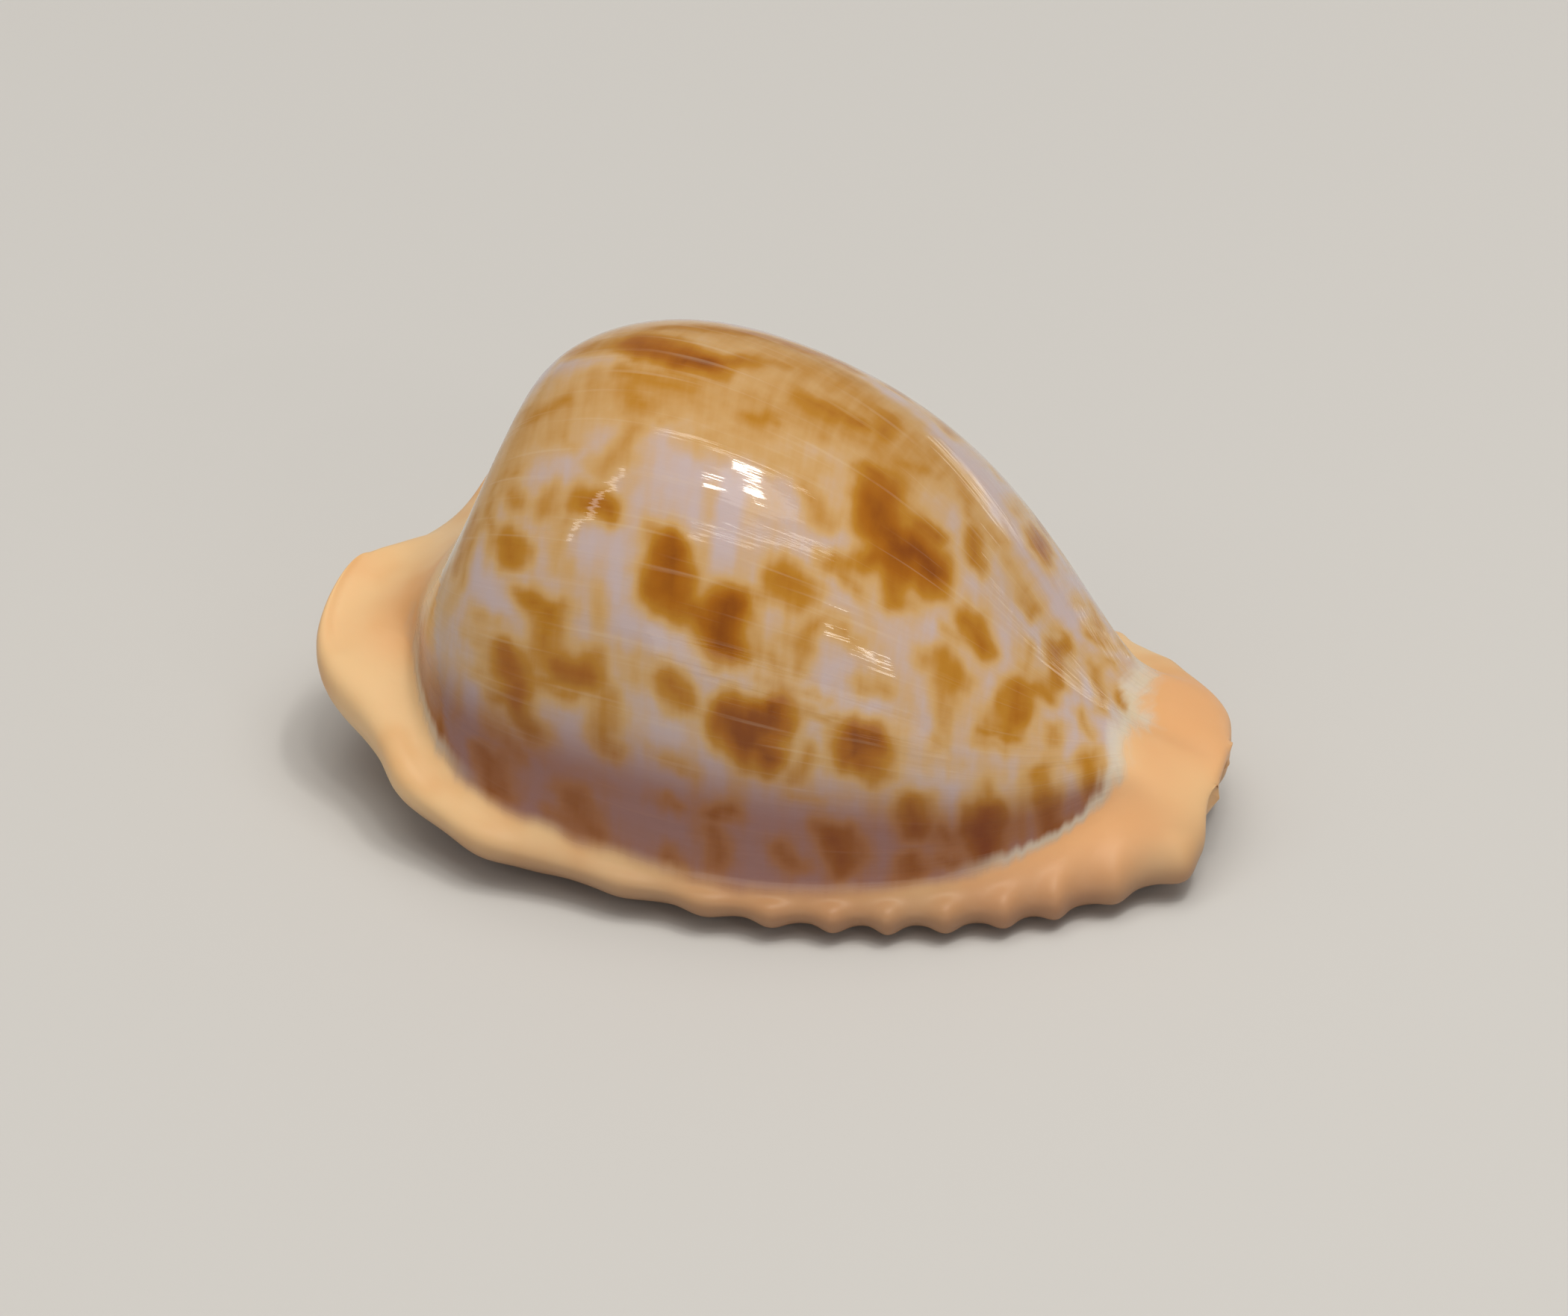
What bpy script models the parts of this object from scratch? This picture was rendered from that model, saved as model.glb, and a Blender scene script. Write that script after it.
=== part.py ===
"""Cowrie shell, one closed solid lofted from C-shaped rings.

The shell lies on its base, with its length along X and its front (siphon) end at +X.
The outer lip is at -Y, the inner lip at +Y, and the high back of the shell is up, at +Z.
Each ring starts at the outer lip, runs over the base, round the margin, across the back and
round to the inner lip, then returns inside along the wall of the hollow. The first ring is
the mouth of the rear canal and the last ring is the mouth of the front canal.
"""
import bmesh
import bpy
import numpy as np

MM = 0.001

# Number of rings along the shell, and of steps between the key points of one ring
RINGS = 73
OUTER_STEPS = (1, 2, 2, 3, 3, 2, 2, 3, 3, 3, 2)
INNER_STEPS = (2, 2, 2, 2)

# Lines along the shell, in millimetres. A row is a station, from -1 at the rear canal to 1 at
# the front canal, and then the values of the line there.
# The top of the back: x, y, z
RIDGE = (
    (-1.00, -14.3, 3.3, 5.1),
    (-0.94, -13.7, 2.9, 5.7),
    (-0.86, -12.6, 2.2, 6.5),
    (-0.74, -10.1, 1.0, 9.3),
    (-0.55, -9.5, 0.4, 13.2),
    (-0.25, -5.6, 0.0, 16.3),
    (0.00, -0.8, 0.0, 15.7),
    (0.30, 4.4, 0.0, 12.9),
    (0.60, 8.6, 0.0, 8.2),
    (0.78, 10.8, 0.0, 5.7),
    (0.88, 12.3, 0.0, 4.7),
    (0.95, 13.8, 0.1, 4.1),
    (1.00, 15.0, 0.1, 3.7),
)
# The outermost line of the margin on the outer lip's side: x, y, z
OUTER_MARGIN = (
    (-1.00, -14.8, 1.0, 4.7),
    (-0.94, -15.4, 0.2, 6.2),
    (-0.86, -15.85, -2.9, 5.5),
    (-0.74, -13.7, -6.0, 4.2),
    (-0.55, -10.4, -8.7, 2.6),
    (-0.25, -4.3, -9.7, 1.6),
    (0.00, 0.3, -9.8, 1.3),
    (0.30, 5.1, -8.9, 1.1),
    (0.60, 10.0, -6.9, 1.1),
    (0.78, 12.8, -4.9, 1.2),
    (0.88, 14.5, -3.5, 1.4),
    (0.95, 15.15, -2.6, 1.7),
    (1.00, 15.1, -2.1, 2.2),
)
# The outermost line of the margin on the inner lip's side: x, y, z
INNER_MARGIN = (
    (-1.00, -13.9, 5.3, 4.3),
    (-0.94, -12.8, 6.4, 5.4),
    (-0.86, -12.8, 7.7, 6.1),
    (-0.74, -10.9, 8.6, 4.9),
    (-0.55, -8.7, 9.5, 2.8),
    (-0.25, -3.9, 10.1, 1.6),
    (0.00, 0.3, 10.2, 1.4),
    (0.30, 5.0, 9.6, 1.8),
    (0.60, 9.3, 7.6, 2.5),
    (0.78, 12.0, 5.6, 3.0),
    (0.88, 13.6, 4.2, 3.1),
    (0.95, 14.6, 3.1, 3.0),
    (1.00, 14.9, 2.2, 2.9),
)
# The valley between the margin and the back on the outer lip's side: share of the way from
# margin to ridge, height z
OUTER_VALLEY = (
    (-1.00, 0.22, 4.9),
    (-0.94, 0.32, 6.0),
    (-0.86, 0.52, 6.2),
    (-0.74, 0.34, 5.3),
    (-0.55, 0.15, 3.8),
    (-0.25, 0.055, 2.5),
    (0.00, 0.045, 2.1),
    (0.30, 0.06, 2.1),
    (0.60, 0.15, 2.6),
    (0.78, 0.29, 3.5),
    (0.88, 0.34, 3.9),
    (0.95, 0.28, 3.6),
    (1.00, 0.20, 3.1),
)
# The same valley on the inner lip's side
INNER_VALLEY = (
    (-1.00, 0.22, 4.9),
    (-0.94, 0.32, 6.0),
    (-0.86, 0.56, 6.2),
    (-0.74, 0.48, 5.3),
    (-0.55, 0.20, 3.7),
    (-0.25, 0.06, 2.7),
    (0.00, 0.05, 2.4),
    (0.30, 0.08, 2.5),
    (0.60, 0.24, 3.4),
    (0.78, 0.42, 4.3),
    (0.88, 0.42, 4.3),
    (0.95, 0.30, 3.9),
    (1.00, 0.20, 3.2),
)
# The margin's rolled top: share of the way from margin to valley, and its fullness in mm for
# each whole share of valley
ROLL_SHARE = 0.42
ROLL_HEIGHT = 0.8
# The aperture: middle line x and y, half width, height of the lips' edge
APERTURE = (
    (-1.00, -14.4, 3.3, 0.90, 3.0),
    (-0.94, -13.9, 3.1, 0.90, 2.7),
    (-0.86, -13.0, 2.4, 0.95, 2.1),
    (-0.74, -11.5, 1.0, 0.95, 1.4),
    (-0.55, -8.8, -0.3, 0.90, 0.9),
    (-0.25, -3.9, -1.2, 0.90, 0.7),
    (0.00, 0.0, -1.3, 0.95, 0.7),
    (0.30, 4.8, -1.1, 1.05, 0.7),
    (0.60, 9.6, -0.7, 1.20, 0.9),
    (0.78, 12.2, -0.3, 1.30, 1.0),
    (0.88, 13.6, 0.0, 1.20, 1.1),
    (0.95, 14.1, 0.1, 1.10, 1.2),
    (1.00, 14.3, 0.1, 1.00, 1.4),
)
# The base: height of its lowest line, which the flat of the base then cuts
BASE = (
    (-1.00, 2.7),
    (-0.94, 2.5),
    (-0.86, 2.0),
    (-0.74, 1.3),
    (-0.55, 0.4),
    (-0.25, -0.1),
    (0.00, -0.2),
    (0.30, -0.2),
    (0.60, -0.1),
    (0.78, 0.2),
    (0.88, 0.6),
    (0.95, 1.0),
    (1.00, 1.3),
)
# The hollow: share of the way from the aperture's middle to the valley, height of its floor,
# rise and inward hook of the lips, thickness of the wall under the ridge
HOLLOW = (
    (-1.00, 0.62, 3.5, 0.4, 0.02, 0.7),
    (-0.94, 0.58, 3.6, 0.6, 0.05, 0.8),
    (-0.86, 0.60, 3.5, 1.0, 0.10, 1.2),
    (-0.74, 0.62, 3.2, 1.5, 0.30, 1.7),
    (-0.55, 0.76, 2.6, 1.9, 0.45, 1.5),
    (-0.25, 0.84, 2.3, 2.1, 0.50, 1.2),
    (0.00, 0.85, 2.2, 2.1, 0.50, 1.2),
    (0.30, 0.84, 2.2, 2.0, 0.50, 1.2),
    (0.60, 0.76, 2.3, 1.6, 0.35, 1.2),
    (0.78, 0.69, 2.4, 1.1, 0.20, 1.1),
    (0.88, 0.67, 2.4, 0.8, 0.10, 0.9),
    (0.95, 0.68, 2.4, 0.6, 0.05, 0.8),
    (1.00, 0.66, 2.3, 0.4, 0.05, 0.7),
)
# The lip's inner face: share of its rise that its fullest point has
LIP_FACE = 0.45
# The base from lip to margin: share of the way, share of the height from base to lip or margin
LIP_CREST = (0.10, 0.40)
BASE_LOW = 0.45
BASE_EDGE = (0.85, 0.28)
# The hollow's floor and wall: share of the way to the wall, share of the wall's height
FLOOR_SHARE = 0.50
WALL_FOOT = 0.18
# Roundness of the back: 2 is an ellipse, more is squarer
BACK_POWER = 2.15
# Angles of the key points of the back, of the beak's side, and of the hollow's roof, degrees
BACK_ANGLES = (25.0, 50.0, 72.0)
BEAK_ANGLES = (16.0, 32.0, 48.0, 63.0, 77.0)
HOLLOW_ANGLES = (32.0, 62.0)
# Stations between which the valley runs out, leaving the beak one round surface
BEAK_FROM = 0.76
BEAK_FULL = 0.92
# The same at the rear, where the surface is a flare: share of the way from margin to ridge, and
# share of the height, of its key points
REAR_FROM = -0.72
REAR_FULL = -0.84
REAR_FLARE = ((0.08, 0.08), (0.22, 0.20), (0.40, 0.38), (0.60, 0.60), (0.80, 0.82))
# Spacing of a ring's curve between key points: 0 is even, 1 follows their distance
CHORD_POWER = 0.6

# Teeth along both lips: first and last station, stations over which they fade, number, height
TEETH_FROM = -0.861
TEETH_TO = 0.917
TEETH_FADE = 0.1
TEETH = 16
TOOTH_HEIGHT = 0.34
# Where the teeth and knobs rise and fade along a ring, counted in key points from the lip
LAST_PLACE = 2 * len(OUTER_STEPS)
OUTER_TEETH_SPAN = (0.3, 1.2, 2.8, 4.6)
INNER_TEETH_SPAN = (0.3, 1.2, 2.2, 3.2)
KNOB_SPAN = (3.8, 4.7, 5.0, 6.3)
# Knobs along the margin on the outer lip's side: station, height in mm, half width in stations
OUTER_KNOBS = (
    (-0.80, 0.20, 0.060),
    (-0.62, 0.28, 0.055),
    (-0.44, 0.24, 0.055),
    (-0.20, 0.28, 0.060),
    (-0.04, 0.30, 0.050),
    (0.10, 0.34, 0.040),
    (0.23, 0.38, 0.034),
    (0.34, 0.42, 0.030),
    (0.45, 0.42, 0.032),
    (0.56, 0.42, 0.032),
    (0.66, 0.42, 0.030),
    (0.77, 0.42, 0.032),
    (0.88, 0.50, 0.036),
)
# Softer knobs along the margin on the inner lip's side
INNER_KNOBS = (
    (-0.72, 0.20, 0.060),
    (-0.46, 0.22, 0.060),
    (-0.16, 0.24, 0.055),
    (0.10, 0.26, 0.050),
    (0.30, 0.28, 0.040),
    (0.46, 0.30, 0.036),
    (0.62, 0.22, 0.034),
    (0.78, 0.10, 0.034),
)

MERGE_DISTANCE = 0.000001
SHELL_COLOUR = (0.74, 0.50, 0.31, 1.0)
SHELL_ROUGHNESS = 0.2


def spline(knots, values, at):
    """Return the natural cubic spline through values at knots, read at the points 'at'."""
    count = len(knots)
    gap = np.diff(knots)
    slope = np.diff(values, axis=0) / gap[:, None]
    system = np.eye(count)
    right = np.zeros_like(values)
    for i in range(1, count - 1):
        system[i, i - 1:i + 2] = gap[i - 1], 2 * (gap[i - 1] + gap[i]), gap[i]
        right[i] = 6 * (slope[i] - slope[i - 1])
    bend = np.linalg.solve(system, right)
    low = np.clip(np.searchsorted(knots, at, side="right") - 1, 0, count - 2)
    step = (at - knots[low])[:, None]
    width = gap[low][:, None]
    first = slope[low] - width * (2 * bend[low] + bend[low + 1]) / 6
    third = (bend[low + 1] - bend[low]) / (6 * width)
    return values[low] + step * (first + step * (bend[low] / 2 + step * third))


def line_at(table, station):
    """Return the columns of a table of stations, read at each station."""
    rows = np.array(table)
    return spline(rows[:, 0], rows[:, 1:], station).T


def toward(start, end, share, height):
    """Return points at a share of the way from start to end in plan, at their own height."""
    plan = start[:2] + share * (end[:2] - start[:2])
    return np.stack([plan[0], plan[1], height])


def arc_point(foot, top, degrees):
    """Return the point of a rounded quarter arc from its foot, at 0 degrees, to its top."""
    across = np.cos(np.radians(degrees)) ** (2 / BACK_POWER)
    up = np.sin(np.radians(degrees)) ** (2 / BACK_POWER)
    return toward(top, foot, across, foot[2] + (top[2] - foot[2]) * up)


def side_keys(station, margin_table, valley_table, side):
    """Return the key points of one side, from the lip to the last point before the ridge,
    and those inside, from the lip to the last point before the roof."""
    ridge = line_at(RIDGE, station)
    margin = line_at(margin_table, station)
    valley_share, valley_height = line_at(valley_table, station)
    middle_x, middle_y, half_width, lip_height = line_at(APERTURE, station)
    base = line_at(BASE, station)[0]
    hollow_share, floor, lift, hook, roof = line_at(HOLLOW, station)
    valley = toward(margin, ridge, valley_share, valley_height)
    middle = np.stack([middle_x, middle_y, lip_height])
    lip = middle + np.outer((0, side, 0), half_width)
    lip_inside = lip + np.outer((0, side, 0), hook) + np.outer((0, 0, 1), lift)
    lip_face = lip + np.outer((0, 0, LIP_FACE), lift)
    crest_height = base + LIP_CREST[1] * (lip_height - base)
    edge_height = base + BASE_EDGE[1] * (margin[2] - base)
    roll_height = margin[2] + ROLL_SHARE * (valley_height - margin[2]) + ROLL_HEIGHT * valley_share
    outer = [
        lip_inside,
        lip_face,
        toward(lip, margin, LIP_CREST[0], crest_height),
        toward(lip, margin, BASE_LOW, base),
        toward(lip, margin, BASE_EDGE[0], edge_height),
        margin,
    ]
    flank = [toward(margin, valley, ROLL_SHARE, roll_height), valley]
    flank += [arc_point(valley, ridge, angle) for angle in BACK_ANGLES]
    beak = [arc_point(margin, ridge, angle) for angle in BEAK_ANGLES]
    rise = ridge[2] - margin[2]
    flare = [toward(margin, ridge, share, margin[2] + height * rise) for share, height in REAR_FLARE]
    beak_share = smooth_step((station - BEAK_FROM) / (BEAK_FULL - BEAK_FROM))
    flare_share = smooth_step((station - REAR_FROM) / (REAR_FULL - REAR_FROM))
    for body, front, rear in zip(flank, beak, flare):
        outer.append(body + beak_share * (front - body) + flare_share * (rear - body))
    slope = np.gradient(ridge, station, axis=1)
    inward = np.stack([slope[2], np.zeros_like(roof), -slope[0]])
    ceiling = ridge + roof * inward / np.linalg.norm(inward, axis=0)
    foot_height = floor + WALL_FOOT * (ceiling[2] - floor)
    wall_foot = toward(middle, valley, hollow_share, foot_height)
    inner = [lip_inside, toward(lip_inside, wall_foot, FLOOR_SHARE, floor), wall_foot]
    inner += [arc_point(wall_foot, ceiling, angle) for angle in HOLLOW_ANGLES]
    return outer, inner, ridge, ceiling


def ring_keys(station):
    """Return the key points of each ring's outside, and those of its inside."""
    outside, inside, ridge, ceiling = side_keys(station, OUTER_MARGIN, OUTER_VALLEY, -1)
    outside_far, inside_far, ridge, ceiling = side_keys(station, INNER_MARGIN, INNER_VALLEY, 1)
    outside = outside + [ridge] + outside_far[::-1]
    inside = inside_far + [ceiling] + inside[::-1]
    return np.array(outside).transpose(2, 0, 1), np.array(inside).transpose(2, 0, 1)


def row_places(steps):
    """Return each row's place along a ring, counted in key points from its start."""
    places = [i + k / count for i, count in enumerate(steps) for k in range(count)]
    return np.array(places + [len(steps)])


def ring_rows(keys, steps):
    """Return points along a smooth curve through one ring's key points."""
    chord = np.linalg.norm(np.diff(keys, axis=0), axis=1) ** CHORD_POWER
    knots = np.concatenate([[0.0], np.cumsum(chord)])
    return spline(knots, keys, np.interp(row_places(steps), np.arange(len(keys)), knots))


def smooth_step(value):
    """Return 0 below 0 and 1 above 1, with a smooth rise between them."""
    value = np.clip(value, 0.0, 1.0)
    return value * value * (3 - 2 * value)


def window(value, start, full, fading, end):
    """Return a smooth window: 0 up to start, 1 from full to fading, and 0 past end."""
    return smooth_step((value - start) / (full - start)) * smooth_step((end - value) / (end - fading))


def tooth_heights(station, place):
    """Return how far the teeth stand out, for rings down the array and rows across it."""
    phase = (station - TEETH_FROM) / (TEETH_TO - TEETH_FROM) * TEETH
    wave = 0.5 - 0.5 * np.cos(2 * np.pi * phase)
    wave *= window(station, TEETH_FROM, TEETH_FROM + TEETH_FADE, TEETH_TO - TEETH_FADE, TEETH_TO)
    reach = window(place, *OUTER_TEETH_SPAN) + window(LAST_PLACE - place, *INNER_TEETH_SPAN)
    return TOOTH_HEIGHT * np.outer(wave, reach)


def knob_heights(station, place):
    """Return how far the margin's knobs stand out, for rings down and rows across."""
    heights = np.zeros((len(station), len(place)))
    for knobs, from_lip in ((OUTER_KNOBS, place), (INNER_KNOBS, LAST_PLACE - place)):
        along = sum(rise * np.exp(-((station - at) / width) ** 2) for at, rise, width in knobs)
        heights += np.outer(along, window(from_lip, *KNOB_SPAN))
    return heights


def outward(points):
    """Return the unit normals of a grid of surface points."""
    normal = np.cross(np.gradient(points, axis=0), np.gradient(points, axis=1))
    return normal / np.linalg.norm(normal, axis=2, keepdims=True)


def shell_points():
    """Return the shell's points in mm: one closed loop of rows for each ring."""
    station = np.linspace(-1.0, 1.0, RINGS)
    outside_keys, inside_keys = ring_keys(station)
    outer_steps = OUTER_STEPS + OUTER_STEPS[::-1]
    outside = np.array([ring_rows(keys, outer_steps) for keys in outside_keys])
    place = row_places(outer_steps)
    relief = tooth_heights(station, place) + knob_heights(station, place)
    outside += outward(outside) * relief[:, :, None]
    outside[:, :, 2] = np.maximum(outside[:, :, 2], 0.0)
    inner_steps = INNER_STEPS + INNER_STEPS[::-1]
    inside = np.array([ring_rows(keys, inner_steps) for keys in inside_keys])
    points = np.concatenate([outside, inside[:, 1:-1]], axis=1)
    low = points.min(axis=(0, 1))
    high = points.max(axis=(0, 1))
    return points - np.array(((low[0] + high[0]) / 2, (low[1] + high[1]) / 2, 0.0))


def shell_mesh():
    """Build the shell's mesh from a flat grid that is wrapped along the rings."""
    points = shell_points() * MM
    rows = points.shape[1]
    bm = bmesh.new()
    bmesh.ops.create_grid(bm, x_segments=RINGS - 1, y_segments=rows, size=1.0)
    for vertex in bm.verts:
        ring = round((vertex.co.x + 1) / 2 * (RINGS - 1))
        row = round((vertex.co.y + 1) / 2 * rows) % rows
        vertex.co = points[ring, row]
    bmesh.ops.remove_doubles(bm, verts=bm.verts, dist=MERGE_DISTANCE)
    canal_mouths = [edge for edge in bm.edges if edge.is_boundary]
    rims = bmesh.ops.holes_fill(bm, edges=canal_mouths, sides=0)["faces"]
    bmesh.ops.triangulate(bm, faces=rims)
    bmesh.ops.recalc_face_normals(bm, faces=bm.faces)
    mesh = bpy.data.meshes.new("shell")
    bm.to_mesh(mesh)
    bm.free()
    mesh.shade_smooth()
    return mesh


def shell_material():
    """Return the glossy shell finish."""
    material = bpy.data.materials.new("glazed_shell")
    material.use_nodes = True
    shader = material.node_tree.nodes["Principled BSDF"]
    shader.inputs["Base Color"].default_value = SHELL_COLOUR
    shader.inputs["Roughness"].default_value = SHELL_ROUGHNESS
    shader.inputs["Metallic"].default_value = 0.0
    return material


def clear_scene():
    """Remove what the scene holds at the start."""
    for thing in list(bpy.data.objects):
        bpy.data.objects.remove(thing)


def main():
    """Build the cowrie."""
    clear_scene()
    collection = bpy.data.collections.new("cowrie_shell")
    bpy.context.scene.collection.children.link(collection)
    mesh = shell_mesh()
    mesh.materials.append(shell_material())
    collection.objects.link(bpy.data.objects.new("shell", mesh))


if __name__ == "__main__":
    main()
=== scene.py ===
"""Looks of a cowrie shell: its fine glazed surface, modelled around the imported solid.

The shell lies with its length along X and its front (siphon) end at +X. The outer lip is at -Y,
on the camera's side. A place on the shell is given by its station, from -1 at the rear canal to
1 at the front canal, and its climb, from 0 in the outer lip's valley over 1 on the ridge of the
back to 2 in the inner lip's valley.
"""
import math
import random

import bmesh
import bpy
import numpy as np
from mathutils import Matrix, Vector, noise


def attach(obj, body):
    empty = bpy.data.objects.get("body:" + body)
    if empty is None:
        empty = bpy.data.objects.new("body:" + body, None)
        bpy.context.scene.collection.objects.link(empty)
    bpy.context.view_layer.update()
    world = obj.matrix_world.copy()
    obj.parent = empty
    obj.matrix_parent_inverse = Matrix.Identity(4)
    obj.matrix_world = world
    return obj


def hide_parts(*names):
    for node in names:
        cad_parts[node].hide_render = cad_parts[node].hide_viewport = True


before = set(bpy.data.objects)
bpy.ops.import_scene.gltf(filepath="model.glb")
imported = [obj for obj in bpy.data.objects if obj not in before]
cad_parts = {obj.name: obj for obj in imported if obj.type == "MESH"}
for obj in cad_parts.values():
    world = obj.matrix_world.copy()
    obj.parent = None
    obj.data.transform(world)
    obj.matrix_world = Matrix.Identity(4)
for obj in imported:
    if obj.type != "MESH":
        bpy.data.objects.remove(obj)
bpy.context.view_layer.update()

MM = 0.001
# Points of the mesh that are nearer than this are one point, in metres
WELD_DISTANCE = 0.0000005

# Rings along the shell, and steps between the key points of one ring, lip to ridge
RINGS = 350
OUTER_STEPS = (3, 5, 5, 7, 8, 7, 6, 22, 22, 20, 12)
INNER_STEPS = (4, 6, 5, 5)
# Rounding of the canals' rims: radius in mm, largest share of the wall's width, and steps
RIM_RADIUS = 0.4
RIM_SHARE = 0.45
RIM_STEPS = 5
# Neighbours on each side that a rim's direction is averaged with, and the part of the ring, as
# a divisor of its points, in which no point counts as the wall's other side
RIM_BLUR = 5
RIM_SAME_SIDE = 8

# Lines along the shell, in millimetres. A row is a station and the values of the line there.
# The top of the back: x, y, z
RIDGE = (
    (-1.00, -14.3, 3.3, 5.1),
    (-0.94, -13.7, 2.9, 5.7),
    (-0.86, -12.6, 2.2, 6.5),
    (-0.74, -10.1, 1.0, 9.3),
    (-0.55, -9.5, 0.4, 13.2),
    (-0.25, -5.6, 0.0, 16.3),
    (0.00, -0.8, 0.0, 15.7),
    (0.30, 4.4, 0.0, 12.9),
    (0.60, 8.6, 0.0, 8.2),
    (0.78, 10.8, 0.0, 5.7),
    (0.88, 12.3, 0.0, 4.7),
    (0.95, 13.8, 0.1, 4.1),
    (1.00, 15.0, 0.1, 3.7),
)
# The outermost line of the margin on the outer lip's side: x, y, z
OUTER_MARGIN = (
    (-1.00, -14.8, 1.0, 4.7),
    (-0.94, -15.4, 0.2, 6.2),
    (-0.86, -15.85, -2.9, 5.5),
    (-0.74, -13.7, -6.0, 4.2),
    (-0.55, -10.4, -8.7, 2.6),
    (-0.25, -4.3, -9.7, 1.6),
    (0.00, 0.3, -9.8, 1.3),
    (0.30, 5.1, -8.9, 1.1),
    (0.60, 10.0, -6.9, 1.1),
    (0.78, 12.8, -4.9, 1.2),
    (0.88, 14.5, -3.5, 1.4),
    (0.95, 15.15, -2.6, 1.7),
    (1.00, 15.1, -2.1, 2.2),
)
# The outermost line of the margin on the inner lip's side: x, y, z
INNER_MARGIN = (
    (-1.00, -13.9, 5.3, 4.3),
    (-0.94, -12.8, 6.4, 5.4),
    (-0.86, -12.8, 7.7, 6.1),
    (-0.74, -10.9, 8.6, 4.9),
    (-0.55, -8.7, 9.5, 2.8),
    (-0.25, -3.9, 10.1, 1.6),
    (0.00, 0.3, 10.2, 1.4),
    (0.30, 5.0, 9.6, 1.8),
    (0.60, 9.3, 7.6, 2.5),
    (0.78, 12.0, 5.6, 3.0),
    (0.88, 13.6, 4.2, 3.1),
    (0.95, 14.6, 3.1, 3.0),
    (1.00, 14.9, 2.2, 2.9),
)
# The valley between the margin and the back on the outer lip's side: share of the way from
# margin to ridge, height z
OUTER_VALLEY = (
    (-1.00, 0.22, 4.9),
    (-0.94, 0.32, 6.0),
    (-0.86, 0.52, 6.2),
    (-0.74, 0.34, 5.3),
    (-0.55, 0.15, 3.8),
    (-0.25, 0.055, 2.5),
    (0.00, 0.045, 2.1),
    (0.30, 0.06, 2.1),
    (0.60, 0.15, 2.6),
    (0.78, 0.29, 3.5),
    (0.88, 0.34, 3.9),
    (0.95, 0.28, 3.6),
    (1.00, 0.20, 3.1),
)
# The same valley on the inner lip's side
INNER_VALLEY = (
    (-1.00, 0.22, 4.9),
    (-0.94, 0.32, 6.0),
    (-0.86, 0.56, 6.2),
    (-0.74, 0.48, 5.3),
    (-0.55, 0.20, 3.7),
    (-0.25, 0.06, 2.7),
    (0.00, 0.05, 2.4),
    (0.30, 0.08, 2.5),
    (0.60, 0.24, 3.4),
    (0.78, 0.42, 4.3),
    (0.88, 0.42, 4.3),
    (0.95, 0.30, 3.9),
    (1.00, 0.20, 3.2),
)
# The margin's rolled top: share of the way from margin to valley, and its fullness in mm for
# each whole share of valley
ROLL_SHARE = 0.42
ROLL_HEIGHT = 0.8
# The aperture: middle line x and y, half width, height of the lips' edge
APERTURE = (
    (-1.00, -14.4, 3.3, 0.90, 3.0),
    (-0.94, -13.9, 3.1, 0.90, 2.7),
    (-0.86, -13.0, 2.4, 0.95, 2.1),
    (-0.74, -11.5, 1.0, 0.95, 1.4),
    (-0.55, -8.8, -0.3, 0.90, 0.9),
    (-0.25, -3.9, -1.2, 0.90, 0.7),
    (0.00, 0.0, -1.3, 0.95, 0.7),
    (0.30, 4.8, -1.1, 1.05, 0.7),
    (0.60, 9.6, -0.7, 1.20, 0.9),
    (0.78, 12.2, -0.3, 1.30, 1.0),
    (0.88, 13.6, 0.0, 1.20, 1.1),
    (0.95, 14.1, 0.1, 1.10, 1.2),
    (1.00, 14.3, 0.1, 1.00, 1.4),
)
# The base: height of its lowest line, which the flat of the base then cuts
BASE = (
    (-1.00, 2.7),
    (-0.94, 2.5),
    (-0.86, 2.0),
    (-0.74, 1.3),
    (-0.55, 0.4),
    (-0.25, -0.1),
    (0.00, -0.2),
    (0.30, -0.2),
    (0.60, -0.1),
    (0.78, 0.2),
    (0.88, 0.6),
    (0.95, 1.0),
    (1.00, 1.3),
)
# The hollow: share of the way from the aperture's middle to the valley, height of its floor,
# rise and inward hook of the lips, thickness of the wall under the ridge
HOLLOW = (
    (-1.00, 0.62, 3.5, 0.4, 0.02, 0.7),
    (-0.94, 0.58, 3.6, 0.6, 0.05, 0.8),
    (-0.86, 0.60, 3.5, 1.0, 0.10, 1.2),
    (-0.74, 0.62, 3.2, 1.5, 0.30, 1.7),
    (-0.55, 0.76, 2.6, 1.9, 0.45, 1.5),
    (-0.25, 0.84, 2.3, 2.1, 0.50, 1.2),
    (0.00, 0.85, 2.2, 2.1, 0.50, 1.2),
    (0.30, 0.84, 2.2, 2.0, 0.50, 1.2),
    (0.60, 0.76, 2.3, 1.6, 0.35, 1.2),
    (0.78, 0.69, 2.4, 1.1, 0.20, 1.1),
    (0.88, 0.67, 2.4, 0.8, 0.10, 0.9),
    (0.95, 0.68, 2.4, 0.6, 0.05, 0.8),
    (1.00, 0.66, 2.3, 0.4, 0.05, 0.7),
)
# The lip's inner face: share of its rise that its fullest point has
LIP_FACE = 0.45
# The base from lip to margin: share of the way, share of the height from base to lip or margin
LIP_CREST = (0.10, 0.40)
BASE_LOW = 0.45
BASE_EDGE = (0.85, 0.28)
# The hollow's floor and wall: share of the way to the wall, share of the wall's height
FLOOR_SHARE = 0.50
WALL_FOOT = 0.18
# Roundness of the back: 2 is an ellipse, more is squarer
BACK_POWER = 2.15
# Angles of the key points of the back, of the beak's side, and of the hollow's roof, degrees
BACK_ANGLES = (25.0, 50.0, 72.0)
BEAK_ANGLES = (16.0, 32.0, 48.0, 63.0, 77.0)
HOLLOW_ANGLES = (32.0, 62.0)
# Stations between which the valley runs out, leaving the beak one round surface
BEAK_FROM = 0.76
BEAK_FULL = 0.92
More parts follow.
